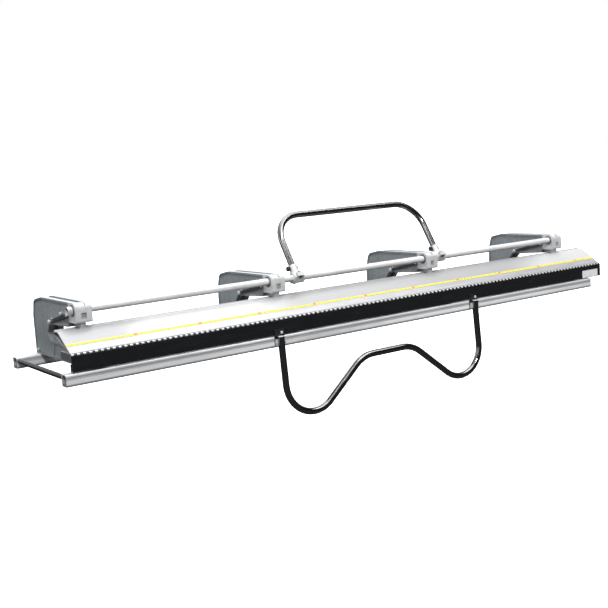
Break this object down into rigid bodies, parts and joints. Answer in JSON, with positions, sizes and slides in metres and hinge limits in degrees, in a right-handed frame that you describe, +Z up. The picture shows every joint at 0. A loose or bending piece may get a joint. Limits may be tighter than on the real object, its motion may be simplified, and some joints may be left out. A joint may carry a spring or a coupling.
{
  "type": "sheet metal bending brake",
  "caption": "Portable brake for thin sheet: a hinged anvil on C-frames clamps the sheet, a lock rod with a loop handle shuts it, and a hinged apron with a wave-shaped handle folds it.",
  "frame": {"origin": "middle of the working edge's length, on the front rail's centre line, on its underside", "axes": "+X along the brake to the right, +Y to the rear, +Z up; the apron faces -Y"},
  "size_m": [3.2317, 0.6767, 0.9112],
  "materials": {
    "rail": "extruded, satin",
    "casting": "grey casting with light edges",
    "bright_casting": "bright cast aluminium",
    "black_tube": "gloss black",
    "dark_steel": "dark, semi gloss",
    "steel": "plated",
    "bush": "plain",
    "jaw": "bright satin",
    "strip": "bright",
    "anvil": "pale satin extrusion",
    "tape": "printed tape",
    "apron": "gloss black",
    "label": "blank",
    "knob": "gloss"
  },
  "bodies": {
    "base": {"front_rail": "rail", "rear_rail": "rail", "crossbar_left": "black_tube", "crossbar_right": "black_tube", "c_frame_1": "casting", "c_frame_2": "casting", "c_frame_3": "casting", "c_frame_4": "casting", "rail_bolts": "steel", "foot_bolts": "steel", "rod_bushes": "bush", "pivot_bolts": "steel", "brace_straps": "dark_steel", "brace_bolts": "steel", "fixed_jaw": "jaw", "jaw_screws": "steel", "wear_strip": "strip", "hinge_rod": "steel"},
    "lock": {"lock_rod": "steel", "rod_collar": "bright_casting", "eccentrics": "steel", "lock_handle": "black_tube", "clamp_left": "bright_casting", "clamp_right": "bright_casting", "clamp_caps": "bright_casting", "clamp_bolts": "dark_steel", "clamp_knobs": "knob"},
    "anvil": {"anvil": "anvil", "nose_strip": "strip", "measuring_tape": "tape", "anvil_screws": "steel", "jaw_arm_1": "bright_casting", "jaw_arm_2": "bright_casting", "jaw_arm_3": "bright_casting", "jaw_arm_4": "bright_casting", "yokes": "bright_casting", "yoke_screws": "dark_steel"},
    "apron": {"apron": "apron", "hinge_leaf": "dark_steel", "face_label": "label", "bending_handle": "black_tube", "handle_straps": "dark_steel", "handle_clips": "bright_casting", "handle_bolts": "steel"}
  },
  "joints": [
    {"name": "lock_turn", "type": "hinge", "parent": "base", "child": "lock", "pos_m": [0, 0.121, 0.28], "axis": [1, 0, 0], "range_deg": [0, 90]},
    {"name": "anvil_lift", "type": "hinge", "parent": "base", "child": "anvil", "pos_m": [0, 0.375, 0.212], "axis": [-1, 0, 0], "range_deg": [0, 2.64]},
    {"name": "apron_swing", "type": "hinge", "parent": "base", "child": "apron", "pos_m": [0, -0.018, 0.124], "axis": [-1, 0, 0], "range_deg": [0, 135]}
  ],
  "couplings": [
    {"joint": "anvil_lift", "follows": "lock_turn", "ratio": 0.02922}
  ]
}
